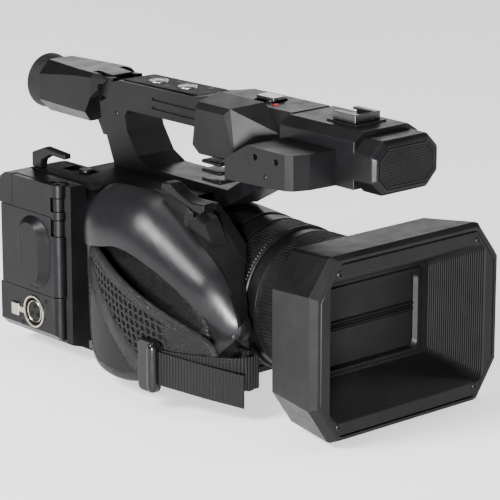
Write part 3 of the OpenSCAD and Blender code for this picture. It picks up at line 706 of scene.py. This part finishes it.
def webbing(name, line, droop, replaces=()):
    """Woven strip along an (x, y) line, sinking by droop at its far end. Gives the piece and its length."""
    run = [0.0]
    for a, b in zip(line, line[1:]):
        run.append(run[-1] + math.dist(a, b))
    rings, uvs = [], []
    for i, (x, y) in enumerate(line):
        a, b = line[max(i - 1, 0)], line[min(i + 1, len(line) - 1)]
        d = Vector((b[0] - a[0], b[1] - a[1])).normalized()
        drop = droop * (run[i] / run[-1]) ** 1.6
        rings.append([(x + d.y * t, y - d.x * t, z - drop) for z, t in WEB_SECTION])
        uvs.extend((run[i] * MM, z * MM) for z, t in WEB_SECTION)
    points, faces = loft(rings)
    obj = piece(name, points, faces, WEB, "chassis", replaces)
    layer = obj.data.uv_layers.new(name="UVMap")
    for loop in obj.data.loops:
        layer.data[loop.index].uv = uvs[loop.vertex_index]
    settle(obj, sharp=60)
    return obj, run[-1]


# webbing through the buckle to the front loop
WEB_LINE = rounded([(-93.8, -3), (-92.2, -22), (-88.7, -31.6), (-84.4, -42), (-76.5, -55.4),
                    (-65, -67.8), (-53, -67.8)], closed=False)
woven, run = webbing("strap_webbing_woven", WEB_LINE, 0, ("strap_webbing",))

# loose end of the webbing, folded back through the buckle and hanging a little
TAIL = rounded([(-96.6, -8), (-95.0, -22), (-91.2, -32.6), (-87.0, -43.2), (-80.0, -56.5), (-68.5, -72.0)],
               closed=False)
tail, run = webbing("strap_tail_woven", TAIL, 9.5)

finish_node("strap_buckle", GLOSS, 2.4, 30, 4)
points, faces = turned([(-16.5, 0.4), (-15.5, 2.6), (-12.5, 3.7), (12.5, 3.7), (15.5, 2.6), (16.5, 0.4)],
                       (-97.4, -17.2, 28), (0, 0, 1), 24)
settle(piece("buckle_bar", points, faces, GLOSS, "chassis"), sharp=50)
finish_node("strap_lugs", SHELL, 0.5)


# ---------------------------------------------------------------- lens and hood

RIBS = 124
RIB_STEPS = 4
RIB_DEPTH = 0.8
RING_BORE = 43.05


def rib_height(j):
    """Radius change at one angle step: half of each rib's steps are raised, half sunk."""
    return 0.0 if j % RIB_STEPS < RIB_STEPS / 2 else -RIB_DEPTH


def ring_piece(node, near, far, radius):
    """Control ring: a band of raised ribs between two plain edges."""
    groove = radius - RIB_DEPTH
    profile = [
        (near, RING_BORE, False), (near, groove, False), (near + 0.7, radius - 0.2, False),
        (near + 2.0, radius - 0.2, False), (near + 2.2, groove, False),
        (near + 2.8, groove, False), (near + 3.2, radius, True), (far - 3.2, radius, True),
        (far - 2.8, groove, False), (far - 2.2, groove, False),
        (far - 2.0, radius - 0.2, False), (far - 0.7, radius - 0.2, False),
        (far, groove, False), (far, RING_BORE, False),
    ]
    points, faces = about_lens(profile, RIBS * RIB_STEPS, rib_height)
    obj = piece(node + "_ribbed", points, faces, RING, BODY_OF[node], (node,))
    return settle(obj, sharp=35)


ring_piece("focus_ring", 57, 81, 47)
ring_piece("zoom_ring", 28, 48, 48)
finish_node("iris_ring", SHELL, 0.7)
finish_node("lens_barrel", SHELL, 0.4)
finish_node("hood_shell", HOOD, 1.1, 24, 3)
paint_node("front_lens", GLASS)

CORNER_POINTS = 6


def round_box(half, z0, z1, r, y):
    """Rounded rectangle at one depth, as points in millimetres."""
    ring = []
    for cx, cz, start in ((half - r, z1 - r, 0), (-half + r, z1 - r, 90), (-half + r, z0 + r, 180),
                          (half - r, z0 + r, 270)):
        for i in range(CORNER_POINTS):
            a = math.radians(start + 90 * i / (CORNER_POINTS - 1))
            ring.append((cx + r * math.cos(a), y, cz + r * math.sin(a)))
    return ring


def octagon(half, z0, z1, y, cx=15, cz_top=20, cz_low=22):
    """Cut-cornered rectangle with the same number of points as round_box gives."""
    corners = [(half, z1 - cz_top), (half - cx, z1), (-half + cx, z1), (-half, z1 - cz_top),
               (-half, z0 + cz_low), (-half + cx, z0), (half - cx, z0), (half, z0 + cz_low)]
    ring = []
    for i in range(0, 8, 2):
        a, b = corners[i], corners[i + 1]
        for k in range(CORNER_POINTS):
            t = k / (CORNER_POINTS - 1)
            ring.append((a[0] + (b[0] - a[0]) * t, y, a[1] + (b[1] - a[1]) * t))
    return ring


# stepped matte funnel inside the hood, with its screwed front mask and rear window
FUNNEL_STEPS = 26
FUNNEL_FRONT = -147.2
FUNNEL_DEPTH = 36.4


def funnel_step(size_at, round_at, y):
    """Outline of the funnel, its size and its corner radius each taken at a share of the depth."""
    return round_box(66.0 - 12.5 * size_at, 16.5 + 13.5 * size_at, 107.5 - 17.5 * size_at,
                     6.5 - 2.5 * round_at, y)


rings = [octagon(74.4, 7.6, 115.9, -144.6), octagon(74.4, 7.6, 115.9, FUNNEL_FRONT),
         octagon(73.8, 8.2, 115.3, -147.9), round_box(67.0, 15.6, 108.4, 7.0, -147.9),
         round_box(66.0, 16.5, 107.5, 6.5, FUNNEL_FRONT)]
for i in range(FUNNEL_STEPS):
    t = (i + 1) / FUNNEL_STEPS
    y = FUNNEL_FRONT + (i + 1) * (FUNNEL_DEPTH / FUNNEL_STEPS)
    rings.append(funnel_step(i / FUNNEL_STEPS, t, y - 0.35))
    rings.append(funnel_step(t, t, y))
rings.append(round_box(48.0, 31.5, 88.5, 4.0, -110.6))
rings.append(round_box(46.5, 32.6, 87.4, 4.0, -111.6))
rings.append(round_box(43.6, 34.6, 85.6, 5.0, -111.6))
rings.append(round_box(41.6, 35.9, 85.8, 5.0, -109.2))
points, faces = loft(rings, close_ends=False)
funnel = piece("hood_funnel", points, faces, FLAT, "chassis", ("hood_baffle",))
settle(funnel, sharp=28)

finish_node("shutter_upper", FLAT, 0.3)
finish_node("shutter_lower", FLAT, 0.3)
finish_node("shutter_lever", SHELL, 0.6)


def leaf_face(name, body, edge, far):
    """Hollowed front of a shutter leaf with a bright lip along its meeting edge."""
    step = 1 if far > edge else -1
    profile = [(-109.4, edge + 0.2 * step), (-109.7, edge + 1.0 * step), (-109.3, edge + 1.9 * step),
               (-108.5, edge + 2.6 * step), (-108.35, far), (-107.9, far), (-107.9, edge + 0.2 * step)]
    rings = [[(x, y, z) for y, z in profile] for x in (-46.4, 46.4)]
    points, faces = loft(rings)
    return settle(piece(name, points, faces, FLAT, body), 0.2, sharp=25)


leaf_face("shutter_upper_face", "shutter_upper", 63.0, 88.0)
leaf_face("shutter_lower_face", "shutter_lower", 61.4, 36.0)


def screw(name, centre, axis, radius):
    """Socket screw head with a domed rim and a round recess."""
    profile = [(-0.6, radius), (0.15, radius), (0.45, radius * 0.86), (0.5, radius * 0.55),
               (0.0, radius * 0.5), (-0.25, 0)]
    points, faces = turned(profile, centre, axis, 18)
    return settle(piece(name, points, faces, STEEL, "chassis"), sharp=35)


for i, x in enumerate((-59.3, 59.3)):
    for j, z in enumerate((13.8, 109.8)):
        head = screw(f"hood_screw_{i}{j}", (x, -148.0, z), (0, -1, 0), 2.3)
        if i == j == 0:
            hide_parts("screws")
for i, x in enumerate((-38, 38)):
    for j, y in enumerate((20, 130)):
        screw(f"base_screw_{i}{j}", (x, y, 0.7), (0, 0, -1), 3.0)


# ---------------------------------------------------------------- case and terminals

for node in ("left_case", "right_case", "rear_case", "front_case", "base_plate"):
    finish_node(node, SHELL, 0.7)
finish_node("top_deck", DECK, 0.8)
finish_node("terminal_block", SHELL, 1.0, 28, 3)
finish_node("terminal_door_upper", DOOR, 0.7, 28, 3)
finish_node("terminal_door_lower", DOOR, 0.8, 20, 3)
finish_node("door_hinge_pin", STEEL, 0.2)
finish_node("cable_clamps", SHELL, 0.8)
finish_node("battery_pack", SHELL, 1.2, 28, 3)
finish_node("battery_release", SHELL, 0.5)
finish_node("card_door", DOOR, 0.6)
finish_node("menu_dial", SHELL, 0.5)
finish_node("nd_switch", STEEL, 0.3)
finish_node("tripod_insert", STEEL, 0.3)
finish_node("xlr_release_tab", NICKEL, 0.5)

# round audio socket: plated ring, black insert with three pin holes as discs of painted shade and its inner
# ring, latch bridge and a disc of painted shade at the socket's bottom, then the small sockets behind the
# doors
SOCKET = (-81.2, 128.0, 29.0)
RING_PROFILE = [(-9, 11.3), (0.2, 11.3), (0.8, 11.0), (1.0, 10.4), (0.8, 9.8), (0.1, 9.5), (-9, 9.5)]
points, faces = turned(RING_PROFILE, SOCKET, (-1, 0, 0), 64)
ring = piece("audio_ring", points, faces[:-2], NICKEL, "chassis", ("sockets",))
settle(ring, sharp=40)


def three_hole(name, centre, axis, radius):
    """Black insert of an audio socket, with three dark discs of painted shade standing in for its pin holes.
    """
    axis = Vector(axis).normalized()
    up = Vector((0, 0, 1))
    side = up.cross(axis)
    points, faces = turned([(-7, radius), (-0.6, radius), (-0.2, radius - 0.5), (-0.2, 0)], centre, axis, 40)
    obj = piece(name, points, faces, FLAT, "chassis")
    for i, a in enumerate((90, 210, 330)):
        a = math.radians(a)
        c = Vector(centre) + (side * math.cos(a) + up * math.sin(a)) * radius * 0.52 - axis * 0.1
        p, f = turned([(-0.3, 1.55), (0.0, 1.55), (0.05, 1.15), (-0.15, 0.0)], c, axis, 16)
        # painted shade: a dull dark disc on the insert stands in for each pin hole
        settle(piece(f"{name}_hole_shade_{i}", p, f, HOLE_SHADE, "chassis"), sharp=35)
    return settle(obj, sharp=35)


three_hole("audio_insert", (-80.8, 128.0, 29.0), (-1, 0, 0), 6.9)
points, faces = turned([(-7, 7.7), (0.0, 7.7), (0.3, 7.3), (0.0, 6.9), (-7, 6.9)], (-81.0, 128.0, 29.0),
                       (-1, 0, 0), 48)
settle(piece("audio_inner_ring", points, faces[:-2], NICKEL, "chassis"), sharp=40)
BRIDGE = ((139.0, 25.6), (144.4, 25.6), (144.4, 29.4), (139.0, 29.4))
points, faces = loft([[(x, y, z) for y, z in BRIDGE] for x in (-80.9, -82.0)])
settle(piece("latch_bridge", points, faces, NICKEL, "chassis"), 0.3, sharp=40)
# painted shade: a dull dark disc at the bottom of the socket, seen through the gap round the insert
points, faces = turned([(-8.5, 0), (-8.5, 9.6), (-6.5, 9.6), (-6.5, 0)], SOCKET, (-1, 0, 0), 40)
settle(piece("audio_well_shade", points, faces, HOLE_SHADE, "chassis"), sharp=35)
for i, z in enumerate((60, 80)):
    points, faces = turned([(0, 4.8), (4.0, 4.8), (4.6, 4.2), (4.8, 3.1), (1.0, 2.7), (1.0, 0)],
                           (-68.4, 125.5, z), (-1, 0, 0), 28)
    settle(piece(f"video_socket_{i}", points, faces, NICKEL, "chassis"), sharp=35)
for i, (y, z) in enumerate(((115.0, 38.5), (141.2, 18.5))):
    screw(f"audio_screw_{i}", (-81.3, y, z), (-1, 0, 0), 1.5)


# ---------------------------------------------------------------- handle, microphone and eyepiece

finish_node("handle_frame", PAINT, 2.0, 8, 3, 25)
finish_node("handle_top_cover", DECK, 0.6)
finish_node("handle_front", PAINT, 1.0, 8, 3, 7)
finish_node("mic_housing", PAINT, 1.0, 10, 3, 18)
finish_node("xlr_block", PAINT, 1.6, 8, 3, 18)
finish_node("mic_holder_box", SHELL, 0.9, 8, 3, 18)
finish_node("cold_shoe", BLACK_STEEL, 0.4)
finish_node("evf_bracket", SHELL, 0.8)
finish_node("evf_body", SHELL, 1.3, 8, 3, 18)
finish_node("diopter_dial", SHELL, 0.4)
finish_node("lcd_panel", SHELL, 0.7)

# rubber eyecup: a turned cup whose bore joins its last ring to its first
CUP_PROFILE = [(0, 12.7), (0, 17.4), (0.6, 18.0), (2.6, 18.0), (3.2, 17.6), (4.0, 17.9), (12.5, 19.2),
               (13.6, 19.1), (14.0, 18.4), (13.4, 17.5), (6.0, 13.6), (4.6, 12.7)]
CUP_SIDES = 72
points, faces = turned(CUP_PROFILE, (0, 200, 164), (0, 1, 0), CUP_SIDES)
last = (len(CUP_PROFILE) - 1) * CUP_SIDES
bore = [(i, (i + 1) % CUP_SIDES, last + (i + 1) % CUP_SIDES, last + i) for i in range(CUP_SIDES)]
eyecup = piece("eyecup_rubber", points, faces[:-2] + bore, RUBBER, "eyepiece", ("evf_eyecup",))
settle(eyecup, sharp=40)


def knob(node, name, centre, tall):
    """Push button with a domed cap inside a plated rim."""
    radius = 6.6
    cap = [(-1.9, radius), (tall - 0.3, radius), (tall, radius - 0.4), (tall - 0.1, radius - 1.2),
           (tall - 0.5, radius - 1.6), (tall - 0.1, radius - 2.4), (tall + 0.15, 0)]
    points, faces = turned(cap, centre, (0, 0, 1), 40)
    settle(piece(name, points, faces, SILVER, BODY_OF[node], (node,)), sharp=50)
    rim = [(-0.4, radius + 0.5), (0.5, radius + 0.5), (0.8, radius + 0.2), (0.5, radius - 0.1),
           (-0.4, radius - 0.1)]
    points, faces = turned(rim, (centre[0], centre[1], centre[2] + tall - 0.9), (0, 0, 1), 40)
    settle(piece(name + "_rim", points, faces[:-2], SILVER, BODY_OF[node]), sharp=50)


knob("handle_rec_button", "handle_rec_cap", (0, 92, 182.0), 0.8)
knob("handle_user_button", "handle_user_cap", (0, 62, 182.6), 0.9)
for i, (x, y) in enumerate(((6.5, 79), (-6.5, 75), (7.5, 107), (7.5, 47))):
    points, faces = turned([(-1.5, 2.3), (0.5, 2.3), (0.8, 1.9), (0.9, 0)], (x, y, 182.4 - (y - 40) * 0.02),
                           (0, 0, 1), 24)
    settle(piece(f"handle_small_button_{i}", points, faces, SHELL, "chassis"), sharp=45)
finish_node("handle_zoom_rocker", SILVER, 0.6)
points, faces = turned([(-0.3, 1.8), (0.35, 1.8), (0.5, 1.5), (0.5, 0)], (-8, -34, 187.5), (0, 0, 1), 20)
settle(piece("record_mark", points, faces, RED, "chassis"), sharp=45)
screw("block_screw", (-39.6, -14.5, 157.0), (-1, 0, 0), 1.7)
screw("box_screw", (-60.0, -81.5, 157.5), (-1, 0, 0), 1.7)
screw("handle_screw", (-16.0, 118, 158.0), (-1, 0, 0), 1.7)
screw("tip_screw", (-62.5, -55.5, 50.0), (-0.6, -0.8, 0), 1.5)

# perforated microphone grille: a plate of small hexagonal holes over a dark sheet of painted shade
HOLE_PITCH = 1.9
CELL = HOLE_PITCH / math.sqrt(3)
MESH_HALF, MESH_TALL, MESH_CORNER, MESH_Z = 23.2, 12.2, 7, 167
points, faces = [], []


def inside(x, z, margin):
    """Whether a point lies within the grille's cut-cornered outline."""
    dx, dz = abs(x), abs(z - MESH_Z)
    diagonal = MESH_HALF + MESH_TALL - MESH_CORNER - margin * 1.4
    return dx < MESH_HALF - margin and dz < MESH_TALL - margin and dx + dz < diagonal


row = 0
z = 154.5
while z < 179.6:
    x = -24.0 + (HOLE_PITCH / 2 if row % 2 else 0)
    while x < 24.0:
        if inside(x, z, 1.0):
            base = len(points)
            for r, y in ((CELL, -143.9), (HOLE_PITCH * 0.30, -143.9), (HOLE_PITCH * 0.26, -143.4)):
                for k in range(6):
                    a = math.radians(90 + 60 * k)
                    points.append((x + r * math.cos(a), y, z + r * math.sin(a)))
            for level in range(2):
                for k in range(6):
                    m = (k + 1) % 6
                    low = base + level * 6
                    faces.append((low + k, low + m, low + 6 + m, low + 6 + k))
        x += HOLE_PITCH
    z += HOLE_PITCH * math.sqrt(3) / 2
    row += 1
grille = piece("mic_mesh", points, faces, PAINT, "chassis", ("mic_grille",))
settle(grille, sharp=30)
outer = [(-23.4, 161.6), (-16.4, 154.6), (16.4, 154.6), (23.4, 161.6), (23.4, 172.4), (16.4, 179.4),
         (-16.4, 179.4), (-23.4, 172.4)]
points, faces = loft([
    [(x, -143.2, z) for x, z in outer],
    [(x, -144.3, z) for x, z in outer],
    [(x, -144.3, z) for x, z in inset(outer, 1.3)],
    [(x, -143.6, z) for x, z in inset(outer, 1.6)],
], close_ends=False)
settle(piece("mic_frame", points, faces, PAINT, "chassis"), sharp=30)
# painted shade: a dull dark sheet behind the grille's holes
points, faces = loft([[(x, -143.1, z) for x, z in outer], [(x, -142.4, z) for x, z in outer]])
settle(piece("mic_hole_shade", points, faces, HOLE_SHADE, "chassis"), sharp=30)

# rear-facing audio input in the handle block
points, faces = turned([(-7, 9.3), (0.1, 9.3), (0.6, 9.0), (0.7, 8.6), (0.1, 8.0), (-7, 8.0)],
                       (-28, 11.0, 170), (0, 1, 0), 56)
settle(piece("handle_audio_ring", points, faces[:-2], NICKEL, "chassis"), sharp=40)

paint_node("inner_frame", INNER)
for node in ("main_board", "sensor_board"):
    paint_node(node, BOARD)
for node in ("inner_lenses", "evf_optics"):
    paint_node(node, GLASS)


# ---------------------------------------------------------------- stage, light and camera

floor_mat = Nodes("studio_floor")
patchy = floor_mat.spread(floor_mat.noise(3.0), 0, 1)
floor_mat.link(floor_mat.between(patchy, (0.80, 0.80, 0.80), (0.83, 0.83, 0.83)),
               floor_mat.shader.inputs["Base Color"])
floor_mat.shader.inputs["Roughness"].default_value = 0.85
floor_mat.shader.inputs["Emission Color"].default_value = (1, 1, 1, 1)
floor_mat.shader.inputs["Emission Strength"].default_value = 0.75
mesh = bpy.data.meshes.new("floor")
corners = [(x * 9, y * 9, -0.0005) for x, y in ((-1, -1), (1, -1), (1, 1), (-1, 1))]
mesh.from_pydata(corners, [], [(0, 1, 2, 3)])
mesh.materials.append(floor_mat.mat)
floor = bpy.data.objects.new("floor", mesh)
bpy.context.scene.collection.objects.link(floor)

world = bpy.data.worlds.new("studio")
bpy.context.scene.world = world
world.use_nodes = True
world.node_tree.nodes["Background"].inputs[0].default_value = (1, 1, 1, 1)
world.node_tree.nodes["Background"].inputs[1].default_value = 0.14


def soft_box(name, place_at, aim, wide, tall, power):
    """Rectangular area light aimed at a point."""
    light = bpy.data.lights.new(name, "AREA")
    light.shape = "RECTANGLE"
    light.size, light.size_y = wide, tall
    light.energy = power
    obj = bpy.data.objects.new(name, light)
    obj.location = place_at
    obj.rotation_euler = (Vector(aim) - Vector(place_at)).to_track_quat("-Z", "Y").to_euler()
    bpy.context.scene.collection.objects.link(obj)


soft_box("key", (-1.45, 0.25, 1.2), (-0.03, 0.0, 0.09), 0.6, 0.55, 60)
soft_box("top", (0.1, 0.1, 1.7), (0, 0, 0.1), 1.2, 0.9, 14)
soft_box("camera_side", (-1.62, -1.47, 0.19), (-0.03, -0.03, 0.07), 0.34, 0.36, 230)
soft_box("behind", (1.35, 1.5, 0.72), (0.0, 0.0, 0.1), 1.1, 0.5, 5)
soft_box("right", (1.6, -0.7, 0.7), (0.05, -0.05, 0.1), 0.5, 0.8, 10)

CAMERA_DISTANCE = 1.7
camera = bpy.data.cameras.new("photo_camera")
camera.lens = 187.2
camera.sensor_width = 36
camera.clip_end = 30
azimuth, elevation = math.radians(-41.5), math.radians(15.5)
toward = Vector((math.sin(azimuth) * math.cos(elevation), -math.cos(azimuth) * math.cos(elevation),
                 math.sin(elevation)))
target = Vector((0, 0, 0.0837))
view = bpy.data.objects.new("photo_camera", camera)
view.location = target + toward * CAMERA_DISTANCE
view.rotation_euler = (-toward).to_track_quat("-Z", "Y").to_euler()
bpy.context.scene.collection.objects.link(view)
bpy.context.scene.camera = view
